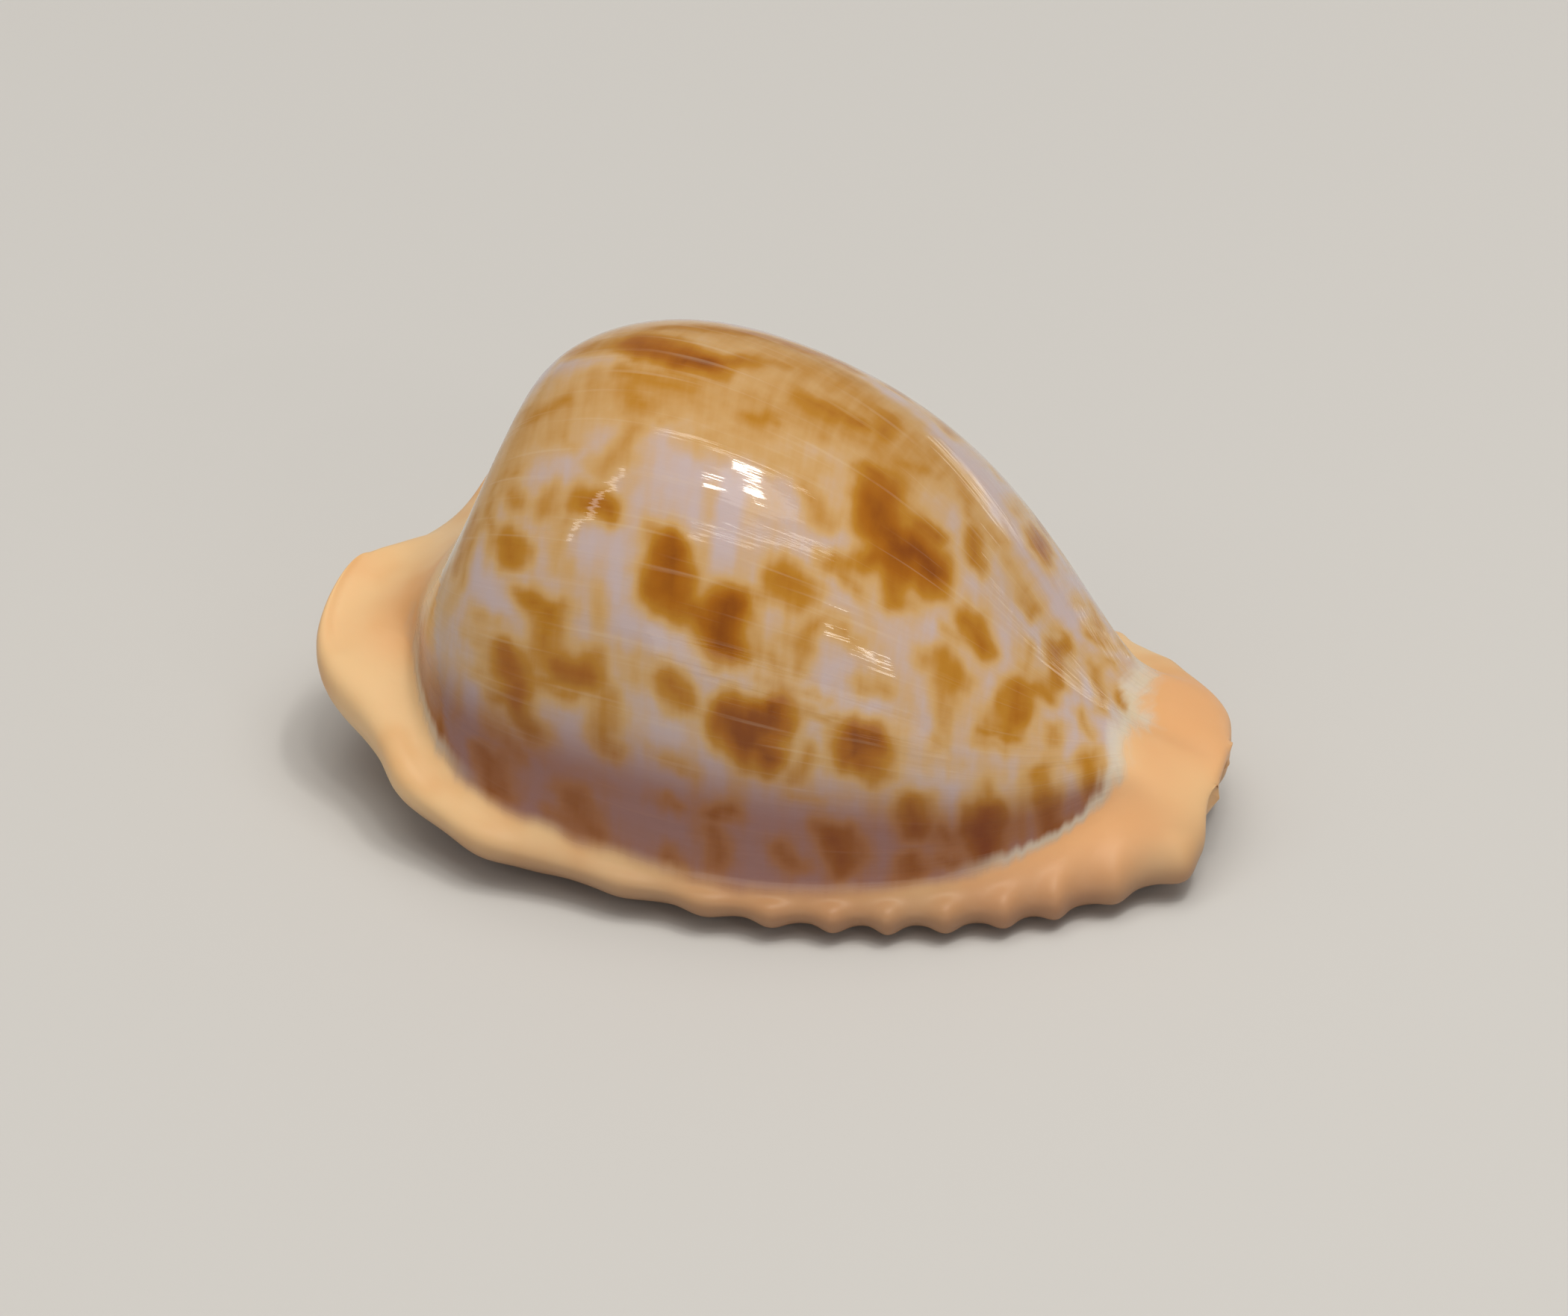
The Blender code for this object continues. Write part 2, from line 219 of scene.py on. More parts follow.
# The same at the rear, where the surface is a flare: share of the way from margin to ridge, and
# share of the height, of its key points
REAR_FROM = -0.72
REAR_FULL = -0.84
REAR_FLARE = ((0.08, 0.08), (0.22, 0.20), (0.40, 0.38), (0.60, 0.60), (0.80, 0.82))
# Spacing of a ring's curve between key points: 0 is even, 1 follows their distance
CHORD_POWER = 0.6

# Teeth along both lips: first and last station, stations over which they fade, number, height
TEETH_FROM = -0.861
TEETH_TO = 0.917
TEETH_FADE = 0.1
TEETH = 16
TOOTH_HEIGHT = 0.34
# Where the teeth and knobs rise and fade along a ring, counted in key points from the lip
RIDGE_PLACE = len(OUTER_STEPS)
VALLEY_PLACE = 7
LAST_PLACE = 2 * RIDGE_PLACE
OUTER_TEETH_SPAN = (0.3, 1.2, 2.8, 4.6)
INNER_TEETH_SPAN = (0.3, 1.2, 2.2, 3.2)
KNOB_SPAN = (3.8, 4.7, 5.0, 6.3)
# Knobs along the margin on the outer lip's side: station, height in mm, half width in stations
OUTER_KNOBS = (
    (-0.80, 0.20, 0.060),
    (-0.62, 0.28, 0.055),
    (-0.44, 0.24, 0.055),
    (-0.20, 0.28, 0.060),
    (-0.04, 0.30, 0.050),
    (0.10, 0.34, 0.040),
    (0.23, 0.38, 0.034),
    (0.34, 0.42, 0.030),
    (0.45, 0.42, 0.032),
    (0.56, 0.42, 0.032),
    (0.66, 0.42, 0.030),
    (0.77, 0.42, 0.032),
    (0.88, 0.50, 0.036),
)
# Softer knobs along the margin on the inner lip's side
INNER_KNOBS = (
    (-0.72, 0.20, 0.060),
    (-0.46, 0.22, 0.060),
    (-0.16, 0.24, 0.055),
    (0.10, 0.26, 0.050),
    (0.30, 0.28, 0.040),
    (0.46, 0.30, 0.036),
    (0.62, 0.22, 0.034),
    (0.78, 0.10, 0.034),
)

# Edge of the glazed pattern: its rear and front ends by climb, and its lower end by station
REAR_EDGE = (
    (-0.10, -0.72),
    (0.00, -0.74),
    (0.20, -0.73),
    (0.35, -0.70),
    (0.50, -0.665),
    (0.65, -0.63),
    (0.80, -0.62),
    (1.00, -0.62),
)
FRONT_EDGE = (
    (-0.10, 0.67),
    (0.00, 0.74),
    (0.15, 0.80),
    (0.30, 0.82),
    (0.50, 0.825),
    (0.75, 0.85),
    (1.00, 0.89),
)
LOW_EDGE = (
    (-0.80, 0.02),
    (-0.50, -0.01),
    (-0.20, -0.005),
    (0.20, -0.005),
    (0.45, -0.01),
    (0.65, 0.00),
    (0.90, 0.02),
)
# Stations at which the callus runs out inside the canals, and over which it does so
HOLLOW_END = 0.95
HOLLOW_FADE = 0.15
# Size of one whole station, and of the climb from valley to ridge, as the edge measures them
STATION_MM = 15.5
CLIMB_MM = 17.0

# Brown marks, as strokes: station and climb of both ends, half width in mm, depth of colour
MARKS = (
    # The rear of the back
    (-0.640, 0.34, -0.620, 0.50, 0.35, 0.58),
    (-0.612, 0.60, -0.600, 0.74, 0.41, 0.62),
    (-0.600, 0.84, -0.590, 0.98, 0.38, 0.60),
    (-0.575, 0.50, -0.545, 0.64, 0.41, 0.66),
    (-0.530, 0.46, -0.520, 0.60, 0.26, 0.58),
    (-0.435, 0.57, -0.420, 0.55, 0.59, 0.76),
    (-0.440, 0.67, -0.420, 0.65, 0.50, 0.60),
    (-0.360, 0.655, -0.355, 0.635, 0.47, 0.58),
    (-0.490, 0.66, -0.478, 0.60, 0.33, 0.62),
    (-0.495, 0.70, -0.430, 0.72, 0.31, 0.56),
    (-0.375, 0.465, -0.335, 0.45, 0.42, 0.82),
    (-0.340, 0.43, -0.345, 0.375, 0.50, 0.74),
    (-0.395, 0.33, -0.398, 0.235, 0.54, 0.96),
    (-0.385, 0.21, -0.355, 0.185, 0.47, 0.70),
    (-0.310, 0.345, -0.265, 0.335, 0.65, 0.88),
    (-0.370, 0.30, -0.300, 0.29, 0.42, 0.68),
    (-0.265, 0.37, -0.245, 0.38, 0.42, 0.66),
    (-0.230, 0.30, -0.218, 0.205, 0.42, 0.64),
    (-0.480, 0.40, -0.425, 0.39, 0.47, 0.46),
    (-0.500, 0.355, -0.440, 0.335, 0.38, 0.46),
    (-0.470, 0.28, -0.440, 0.27, 0.59, 0.42),
    (-0.530, 0.12, -0.505, 0.30, 0.31, 0.38),
    (-0.580, 0.14, -0.545, 0.26, 0.31, 0.36),
    (-0.430, 0.16, -0.400, 0.12, 0.53, 0.48),
    (-0.440, 0.08, -0.425, 0.03, 0.50, 0.60),
    (-0.285, 0.085, -0.255, 0.03, 0.54, 0.58),
    (-0.320, 0.03, -0.290, 0.03, 0.31, 0.52),
    (-0.570, 0.05, -0.535, 0.02, 0.38, 0.60),
    (-0.665, 0.00, -0.625, 0.03, 0.47, 0.56),
    (-0.330, 0.52, -0.315, 0.61, 0.38, 0.50),
    (-0.185, 0.385, -0.175, 0.34, 0.35, 0.48),
    (-0.290, 0.655, -0.252, 0.655, 0.57, 0.86),
    (-0.265, 0.72, -0.215, 0.80, 0.54, 0.52),
    (-0.425, 0.84, -0.370, 0.86, 0.54, 0.62),
    (-0.370, 0.78, -0.330, 0.755, 0.45, 0.48),
    (-0.480, 0.86, -0.445, 0.885, 0.35, 0.54),
    (-0.230, 0.89, -0.205, 0.845, 0.47, 0.58),
    (-0.325, 0.93, -0.300, 0.91, 0.38, 0.54),
    (-0.172, 0.822, -0.142, 0.842, 0.15, 0.64),
    (-0.385, 1.05, -0.340, 1.03, 0.59, 0.66),
    # The top of the back
    (-0.255, 1.025, -0.120, 1.005, 0.84, 0.94),
    (-0.165, 0.985, -0.125, 1.00, 0.47, 1.00),
    (-0.250, 0.93, -0.150, 0.925, 0.54, 0.62),
    (-0.110, 1.015, -0.060, 1.045, 0.42, 0.84),
    (-0.060, 1.05, 0.010, 1.09, 0.42, 0.60),
    (-0.240, 1.11, -0.120, 1.16, 0.52, 0.72),
    (-0.100, 1.17, 0.060, 1.235, 0.52, 0.78),
    (0.080, 1.005, 0.155, 1.035, 0.52, 0.74),
    (0.140, 1.03, 0.160, 1.03, 0.33, 0.84),
    (0.195, 1.11, 0.210, 1.05, 0.57, 0.68),
    (0.255, 1.015, 0.295, 1.045, 0.50, 0.58),
    (-0.030, 0.885, 0.022, 0.915, 0.35, 0.72),
    (-0.090, 0.83, 0.010, 0.87, 0.31, 0.50),
    # The great patch
    (0.290, 0.775, 0.350, 0.80, 1.00, 0.96),
    (0.245, 0.84, 0.310, 0.79, 0.70, 0.88),
    (0.350, 0.80, 0.385, 0.815, 0.54, 0.88),
    (0.235, 0.80, 0.245, 0.90, 0.85, 0.90),
    (0.230, 0.93, 0.270, 0.95, 0.50, 0.78),
    (0.320, 0.87, 0.350, 0.895, 0.50, 0.84),
    (0.250, 0.72, 0.335, 0.735, 0.59, 0.86),
    (0.305, 0.70, 0.310, 0.67, 0.40, 0.80),
    (0.190, 0.675, 0.240, 0.70, 0.50, 0.62),
    (0.190, 0.655, 0.240, 0.65, 0.31, 0.62),
    (0.118, 0.80, 0.140, 0.76, 0.57, 0.54),
    # The middle marks
    (-0.135, 0.60, -0.125, 0.53, 0.66, 0.98),
    (-0.140, 0.50, -0.110, 0.49, 0.40, 0.72),
    (-0.095, 0.505, -0.030, 0.485, 0.59, 0.84),
    (-0.008, 0.53, -0.002, 0.465, 0.73, 1.05),
    (0.010, 0.53, 0.026, 0.53, 0.35, 0.84),
    (-0.040, 0.45, -0.015, 0.43, 0.38, 0.72),
    (0.020, 0.565, 0.060, 0.57, 0.38, 0.54),
    (0.085, 0.61, 0.120, 0.605, 0.78, 0.70),
    (0.170, 0.545, 0.140, 0.50, 0.40, 0.62),
    (0.140, 0.50, 0.135, 0.455, 0.42, 0.56),
    (0.075, 0.465, 0.095, 0.43, 0.45, 0.54),
    (0.050, 0.411, 0.200, 0.416, 0.07, 0.74),
    (0.210, 0.55, 0.255, 0.54, 0.42, 0.50),
    (0.265, 0.455, 0.310, 0.47, 0.42, 0.52),
    (0.020, 0.315, 0.085, 0.340, 0.87, 1.05),
    (0.040, 0.285, 0.075, 0.270, 0.66, 1.05),
    (0.085, 0.370, 0.110, 0.380, 0.40, 0.96),
    (0.050, 0.240, 0.080, 0.235, 0.35, 0.74),
    (-0.070, 0.325, -0.020, 0.310, 0.28, 0.54),
    (0.120, 0.378, 0.220, 0.375, 0.26, 0.62),
    (0.258, 0.330, 0.298, 0.333, 0.68, 1.05),
    (0.265, 0.295, 0.295, 0.285, 0.54, 1.00),
    (0.172, 0.290, 0.150, 0.235, 0.45, 0.60),
    (-0.120, 0.370, -0.095, 0.345, 0.54, 0.80),
    (-0.120, 0.220, -0.080, 0.210, 0.42, 0.48),
    # The front of the back, where the marks stand in columns
    (0.415, 0.575, 0.430, 0.545, 0.68, 0.66),
    (0.420, 0.50, 0.425, 0.43, 0.45, 0.54),
    (0.418, 0.38, 0.425, 0.36, 0.35, 0.48),
    (0.430, 1.00, 0.436, 0.935, 0.47, 0.80),
    (0.385, 1.09, 0.405, 1.05, 0.42, 0.54),
    (0.460, 0.725, 0.486, 0.690, 0.45, 0.88),
    (0.410, 0.665, 0.440, 0.665, 0.33, 0.54),
    (0.470, 1.12, 0.460, 1.09, 0.45, 0.54),
    (0.515, 1.07, 0.505, 1.05, 0.35, 0.46),
    (0.578, 0.605, 0.560, 0.52, 0.47, 0.82),
    (0.560, 0.52, 0.542, 0.455, 0.40, 0.76),
    (0.510, 0.418, 0.560, 0.428, 0.20, 0.78),
    (0.505, 0.385, 0.545, 0.38, 0.31, 0.56),
    (0.565, 0.605, 0.625, 0.640, 0.40, 0.66),
    (0.630, 0.650, 0.655, 0.745, 0.40, 0.70),
    (0.655, 0.760, 0.668, 0.900, 0.40, 0.78),
    (0.668, 0.900, 0.682, 1.010, 0.38, 0.80),
    (0.655, 1.060, 0.695, 1.055, 0.26, 0.66),
    (0.582, 0.690, 0.582, 0.800, 0.33, 0.56),
    (0.572, 1.040, 0.565, 0.955, 0.45, 0.60),
    (0.652, 0.480, 0.652, 0.420, 0.32, 0.62),
    (0.650, 0.400, 0.650, 0.350, 0.26, 0.48),
    (0.732, 0.590, 0.742, 0.500, 0.28, 0.60),
    (0.748, 0.390, 0.744, 0.350, 0.31, 0.56),
    (0.732, 0.310, 0.742, 0.170, 0.40, 0.76),
    (0.750, 0.130, 0.764, 0.020, 0.20, 0.54),
    (0.628, 0.310, 0.636, 0.200, 0.33, 0.72),
    (0.636, 0.200, 0.655, 0.050, 0.35, 0.76),
    (0.655, 0.030, 0.662, 0.010, 0.31, 0.90),
    (0.518, 0.190, 0.514, 0.050, 0.52, 0.94),
    (0.522, 0.260, 0.520, 0.220, 0.35, 0.66),
    (0.620, 0.322, 0.755, 0.318, 0.10, 0.56),
    (0.762, 0.660, 0.772, 0.780, 0.18, 0.48),
    (0.772, 0.780, 0.778, 0.950, 0.31, 0.62),
    (0.778, 0.950, 0.762, 1.110, 0.31, 0.64),
    (0.842, 0.760, 0.846, 0.940, 0.14, 0.46),
    (0.846, 0.950, 0.840, 1.040, 0.18, 0.72),
    (0.840, 1.040, 0.822, 1.180, 0.20, 0.78),
    # The foot of the outer side
    (0.380, 0.205, 0.385, 0.155, 0.50, 0.86),
    (0.200, 0.130, 0.235, 0.110, 0.38, 0.64),
    (0.240, 0.100, 0.250, 0.050, 0.64, 0.76),
    (0.120, 0.070, 0.140, 0.050, 0.54, 0.58),
    (-0.025, 0.128, 0.015, 0.145, 0.38, 0.72),
    (-0.020, 0.080, -0.005, 0.040, 0.50, 0.56),
    (-0.130, 0.128, -0.095, 0.126, 0.17, 0.66),
    (-0.115, 0.018, -0.088, 0.015, 0.26, 0.64),
    (0.155, 0.185, 0.190, 0.190, 0.26, 0.50),
    (0.380, 0.060, 0.385, 0.030, 0.50, 0.68),
    (0.440, 0.125, 0.448, 0.115, 0.28, 0.68),
    (0.440, 0.055, 0.445, 0.045, 0.28, 0.66),
)
# Tan haze under the marks, as wide soft strokes like the marks
HAZE = (
    (-0.65, 0.30, -0.60, 0.80, 0.9, 0.40),
    (-0.48, 0.78, -0.24, 0.92, 2.1, 0.40),
    (-0.22, 0.88, 0.14, 0.98, 1.6, 0.44),
    (-0.32, 1.10, 0.10, 1.14, 1.4, 0.44),
    (0.06, 1.14, 0.36, 1.10, 1.4, 0.44),
    (0.36, 1.08, 0.62, 1.02, 1.1, 0.40),
    (0.00, 1.05, 0.30, 1.08, 1.5, 0.42),
    (-0.09, 0.81, 0.14, 0.86, 1.0, 0.42),
    (0.12, 0.98, 0.30, 1.00, 1.3, 0.42),
    (0.22, 0.98, 0.30, 0.78, 1.1, 0.42),
    (0.34, 0.62, 0.36, 0.80, 0.5, 0.38),
    (0.55, 0.52, 0.61, 0.72, 0.5, 0.38),
    (0.43, 0.34, 0.43, 0.64, 0.5, 0.38),
    (-0.56, 0.40, -0.52, 0.70, 0.8, 0.40),
    (-0.14, 0.58, -0.12, 0.66, 0.9, 0.34),
    (0.62, 0.10, 0.66, 0.40, 0.5, 0.36),
    (0.22, 1.00, 0.42, 0.84, 0.7, 0.40),
    (0.10, 0.83, 0.13, 0.72, 0.6, 0.36),
    (0.04, 0.48, 0.22, 0.56, 0.9, 0.36),
    (0.24, 0.66, 0.32, 0.50, 0.7, 0.34),
    (-0.45, 0.60, -0.32, 0.62, 0.9, 0.30),
    (-0.46, 0.36, -0.28, 0.30, 0.9, 0.34),
    (-0.20, 0.40, -0.16, 0.22, 0.5, 0.30),
    (-0.42, 0.18, -0.22, 0.12, 0.6, 0.26),
    (0.33, 0.32, 0.55, 0.30, 0.7, 0.34),
    (0.42, 0.60, 0.42, 0.32, 0.5, 0.34),
    (0.50, 0.92, 0.56, 0.80, 0.6, 0.30),
    (0.12, 0.22, 0.20, 0.30, 0.5, 0.30),
    (-0.62, 0.10, -0.54, 0.32, 0.5, 0.30),
    (0.22, 0.20, 0.36, 0.21, 0.4, 0.34),
    (-0.14, 0.62, 0.02, 0.60, 0.5, 0.26),
)
# Bare ground that shows through the haze, as strokes too
BARE_GROUND = (
    (-0.35, 0.97, -0.31, 0.97, 0.50, 1.0),
    (-0.16, 0.74, -0.12, 0.75, 0.55, 1.0),
    (-0.37, 0.72, -0.34, 0.72, 0.45, 1.0),
    (-0.24, 0.55, -0.21, 0.53, 0.60, 1.0),
    (-0.07, 0.67, 0.09, 0.67, 0.60, 1.0),
    (0.18, 0.73, 0.18, 0.94, 0.28, 1.0),
    (0.365, 0.91, 0.365, 1.05, 0.30, 1.0),
    (0.40, 0.74, 0.45, 0.86, 0.38, 1.0),
    (0.365, 0.60, 0.375, 0.68, 0.35, 1.0),
    (0.21, 0.45, 0.23, 0.45, 0.40, 1.0),
    (0.50, 0.55, 0.51, 0.66, 0.35, 1.0),
    (0.47, 0.88, 0.48, 1.00, 0.25, 1.0),
    (0.61, 0.84, 0.62, 1.04, 0.25, 1.0),
    (0.71, 0.72, 0.72, 0.98, 0.25, 1.0),
    (0.70, 0.38, 0.70, 0.56, 0.30, 1.0),
    (-0.30, 0.22, -0.28, 0.24, 0.35, 1.0),
    (0.44, 0.24, 0.46, 0.22, 0.40, 1.0),
)
# Softness of the edges of marks and of haze, in mm
MARK_EDGE = 0.25
HAZE_EDGE = 0.36
# The paler halo around a mark: how much wider it is in mm, and its share of the mark's depth
HALO_WIDTH = 0.42
HALO_DEPTH = 0.49
# How marks join where they overlap: more keeps the deeper one
JOIN_POWER = 5.0
# How far the marks wander from their strokes: reach in mm and scale per mm, along the shell and up
WANDER_ALONG = ((0.36, 0.7), (0.12, 1.9))
WANDER_UP = ((0.34, 0.7), (0.12, 1.9))
# Fingers at the marks' upper and lower ends: scale by station and by climb, and reach in mm
FINGER_SCALE = (36, 2.2)
FINGER_REACH = 0.20
# The thin veil of tan over the ground: its depth, the scale and depth of its upright columns, and
# the scale and depth of its broad patches
VEIL = 0.11
COLUMN_SCALE = (22, 2.4)
COLUMN_DEPTH = 0.30
BROAD_SCALE = 0.4
BROAD_DEPTH = 0.16
# Roundness of the corners of the pattern's edge, per mm
EDGE_CORNERS = 3
# The brown of the hidden side, laid out by seeded chance: number of marks, share of dark ones,
# their stations and climbs, their rise and lean, and the half width and depth of both kinds
HIDDEN_SEED = 11
HIDDEN_MARKS = 78
HIDDEN_DARK_SHARE = 0.3
HIDDEN_STATIONS = (-0.56, 0.78)
HIDDEN_CLIMBS = (1.24, 1.98)
HIDDEN_RISE = (0.02, 0.09)
HIDDEN_LEAN = (-0.02, 0.02)
DARK_WIDTH = (0.36, 0.70)
DARK_DEPTH = (0.80, 1.05)
LIGHT_WIDTH = (0.24, 0.46)
LIGHT_DEPTH = (0.48, 0.70)

# Finish: roughness of the glaze and of the callus, refraction, height of the grain in metres, and
# the light that passes under the surface
GLAZE_ROUGHNESS = 0.055
CALLUS_ROUGHNESS = 0.42
GLAZE_IOR = 1.42
BUMP_DISTANCE = 0.00001
GLOW_WEIGHT = 0.15
GLOW_COLOUR_RADII = (1.0, 0.6, 0.4)
GLOW_SCALE = 0.0005

# Studio: size, drop and grey of the floor, colour and strength of the light from all around, the
# height that the lamps aim at, and their colour
FLOOR_SIZE = 3.0
FLOOR_DROP = 0.00002
FLOOR_GREY = (0.58, 0.58, 0.58, 1.0)
FLOOR_ROUGHNESS = 0.9
SKY_COLOUR = (1.0, 0.96, 0.90, 1.0)
SKY_STRENGTH = 0.30
LAMP_AIM_HEIGHT = 0.008
LAMP_COLOUR = (1.0, 0.95, 0.87)
# Three thin lamps beside each other, one window's broken reflection: azimuth and elevation
WINDOW_BARS = ((46.0, 37.0), (50.0, 31.0), (53.0, 28.5))

# Camera: direction and distance of the photograph, and the point it looks at
CAMERA_AZIMUTH = 16.0
CAMERA_ELEVATION = 34.0
CAMERA_DISTANCE = 0.38
CAMERA_LENS = 254.0
CAMERA_SENSOR = 36.0
AIM_UP = 0.0039
AIM_RIGHT = 0.00005


def linear(red, green, blue):
    """Return a colour of the screen, 0 to 255, as the shader's linear values."""
    shares = (red / 255, green / 255, blue / 255)
    return tuple(c / 12.92 if c < 0.04045 else ((c + 0.055) / 1.055) ** 2.4 for c in shares) + (1.0,)


# The ground of the back, the thin light lines on it, and its browns from light to dark
GROUND = linear(190, 172, 172)
THREAD = linear(214, 194, 168)
TAN = linear(198, 160, 108)
AMBER = linear(178, 124, 38)
BROWN = linear(158, 94, 10)
UMBER = linear(128, 66, 6)
# Mauve of the back's foot, own tint plus painted shade, and the pattern's pale fringe at both ends
MAUVE_TINT_AND_SHADE = linear(176, 126, 116)
FRINGE = linear(212, 204, 186)
# The callus, the painted shade at its foot, and the inside of the shell
CREAM = linear(226, 190, 142)
APRICOT = linear(218, 168, 112)
PEACH = linear(222, 168, 118)
CALLUS_PAINTED_SHADE = linear(142, 104, 80)
INSIDE = linear(170, 130, 128)


def spline(knots, values, at):
    """Return the natural cubic spline through values at knots, read at the points 'at'."""
    count = len(knots)
    gap = np.diff(knots)
    slope = np.diff(values, axis=0) / gap[:, None]
    system = np.eye(count)
    right = np.zeros_like(values)
    for i in range(1, count - 1):
        system[i, i - 1:i + 2] = gap[i - 1], 2 * (gap[i - 1] + gap[i]), gap[i]
        right[i] = 6 * (slope[i] - slope[i - 1])
    bend = np.linalg.solve(system, right)
    low = np.clip(np.searchsorted(knots, at, side="right") - 1, 0, count - 2)
    step = (at - knots[low])[:, None]
    width = gap[low][:, None]
    first = slope[low] - width * (2 * bend[low] + bend[low + 1]) / 6
    third = (bend[low + 1] - bend[low]) / (6 * width)
    return values[low] + step * (first + step * (bend[low] / 2 + step * third))


def line_at(table, station):
    """Return the columns of a table of stations, read at each station."""
    rows = np.array(table)
    return spline(rows[:, 0], rows[:, 1:], station).T


def smooth_step(value):
    """Return 0 below 0 and 1 above 1, with a smooth rise between them."""
    value = np.clip(value, 0.0, 1.0)
    return value * value * (3 - 2 * value)


def swell(value, start, full, fading, end):
    """Return a smooth swell: 0 up to start, 1 from full to fading, and 0 past end."""
    return smooth_step((value - start) / (full - start)) * smooth_step((end - value) / (end - fading))


def toward(start, end, share, height):
    """Return points at a share of the way from start to end in plan, at their own height."""
    plan = start[:2] + share * (end[:2] - start[:2])
    return np.stack([plan[0], plan[1], height])


def arc_point(foot, top, degrees):
    """Return the point of a rounded quarter arc from its foot, at 0 degrees, to its top."""
    across = np.cos(np.radians(degrees)) ** (2 / BACK_POWER)
    up = np.sin(np.radians(degrees)) ** (2 / BACK_POWER)
    return toward(top, foot, across, foot[2] + (top[2] - foot[2]) * up)


def side_keys(station, margin_table, valley_table, side):
    """Return the key points of one side, from the lip to the last point before the ridge,
    and those inside, from the lip to the last point before the roof."""
    ridge = line_at(RIDGE, station)
    margin = line_at(margin_table, station)
    valley_share, valley_height = line_at(valley_table, station)
    middle_x, middle_y, half_width, lip_height = line_at(APERTURE, station)
    base = line_at(BASE, station)[0]
    hollow_share, floor, lift, hook, roof = line_at(HOLLOW, station)
    valley = toward(margin, ridge, valley_share, valley_height)
    middle = np.stack([middle_x, middle_y, lip_height])
    lip = middle + np.outer((0, side, 0), half_width)
    lip_inside = lip + np.outer((0, side, 0), hook) + np.outer((0, 0, 1), lift)
    lip_face = lip + np.outer((0, 0, LIP_FACE), lift)
    crest_height = base + LIP_CREST[1] * (lip_height - base)
    edge_height = base + BASE_EDGE[1] * (margin[2] - base)
    roll_height = margin[2] + ROLL_SHARE * (valley_height - margin[2]) + ROLL_HEIGHT * valley_share
    outer = [
        lip_inside,
        lip_face,
        toward(lip, margin, LIP_CREST[0], crest_height),
        toward(lip, margin, BASE_LOW, base),
        toward(lip, margin, BASE_EDGE[0], edge_height),
        margin,
    ]
    flank = [toward(margin, valley, ROLL_SHARE, roll_height), valley]
    flank += [arc_point(valley, ridge, angle) for angle in BACK_ANGLES]
    beak = [arc_point(margin, ridge, angle) for angle in BEAK_ANGLES]
    rise = ridge[2] - margin[2]
    flare = [toward(margin, ridge, share, margin[2] + height * rise) for share, height in REAR_FLARE]
    beak_share = smooth_step((station - BEAK_FROM) / (BEAK_FULL - BEAK_FROM))
    flare_share = smooth_step((station - REAR_FROM) / (REAR_FULL - REAR_FROM))
    for body, front, rear in zip(flank, beak, flare):
        outer.append(body + beak_share * (front - body) + flare_share * (rear - body))
    slope = np.gradient(ridge, station, axis=1)
    inward = np.stack([slope[2], np.zeros_like(roof), -slope[0]])
    ceiling = ridge + roof * inward / np.linalg.norm(inward, axis=0)
    foot_height = floor + WALL_FOOT * (ceiling[2] - floor)
    wall_foot = toward(middle, valley, hollow_share, foot_height)
    inner = [lip_inside, toward(lip_inside, wall_foot, FLOOR_SHARE, floor), wall_foot]
    inner += [arc_point(wall_foot, ceiling, angle) for angle in HOLLOW_ANGLES]
    return outer, inner, ridge, ceiling


def ring_keys(station):
    """Return the key points of each ring's outside, and those of its inside."""
    outside, inside, ridge, ceiling = side_keys(station, OUTER_MARGIN, OUTER_VALLEY, -1)
    outside_far, inside_far, ridge, ceiling = side_keys(station, INNER_MARGIN, INNER_VALLEY, 1)
    outside = outside + [ridge] + outside_far[::-1]
    inside = inside_far + [ceiling] + inside[::-1]
    return np.array(outside).transpose(2, 0, 1), np.array(inside).transpose(2, 0, 1)


def row_places(steps):
    """Return each row's place along a ring, counted in key points from its start."""
    places = [i + k / count for i, count in enumerate(steps) for k in range(count)]
    return np.array(places + [len(steps)])


def ring_rows(keys, steps):
    """Return points along a smooth curve through one ring's key points."""
    chord = np.linalg.norm(np.diff(keys, axis=0), axis=1) ** CHORD_POWER
    knots = np.concatenate([[0.0], np.cumsum(chord)])
    return spline(knots, keys, np.interp(row_places(steps), np.arange(len(keys)), knots))


def tooth_heights(station, place):
    """Return how far the teeth stand out, for rings down the array and rows across it."""
    phase = (station - TEETH_FROM) / (TEETH_TO - TEETH_FROM) * TEETH
    wave = 0.5 - 0.5 * np.cos(2 * np.pi * phase)
    wave *= swell(station, TEETH_FROM, TEETH_FROM + TEETH_FADE, TEETH_TO - TEETH_FADE, TEETH_TO)
    reach = swell(place, *OUTER_TEETH_SPAN) + swell(LAST_PLACE - place, *INNER_TEETH_SPAN)
    return TOOTH_HEIGHT * np.outer(wave, reach)


def knob_heights(station, place):
    """Return how far the margin's knobs stand out, for rings down and rows across."""
    heights = np.zeros((len(station), len(place)))
    for knobs, from_lip in ((OUTER_KNOBS, place), (INNER_KNOBS, LAST_PLACE - place)):
        along = sum(rise * np.exp(-((station - at) / width) ** 2) for at, rise, width in knobs)
        heights += np.outer(along, swell(from_lip, *KNOB_SPAN))
    return heights


def outward(points):
    """Return the unit normals of a grid of surface points."""
    normal = np.cross(np.gradient(points, axis=0), np.gradient(points, axis=1))
    return normal / np.linalg.norm(normal, axis=2, keepdims=True)


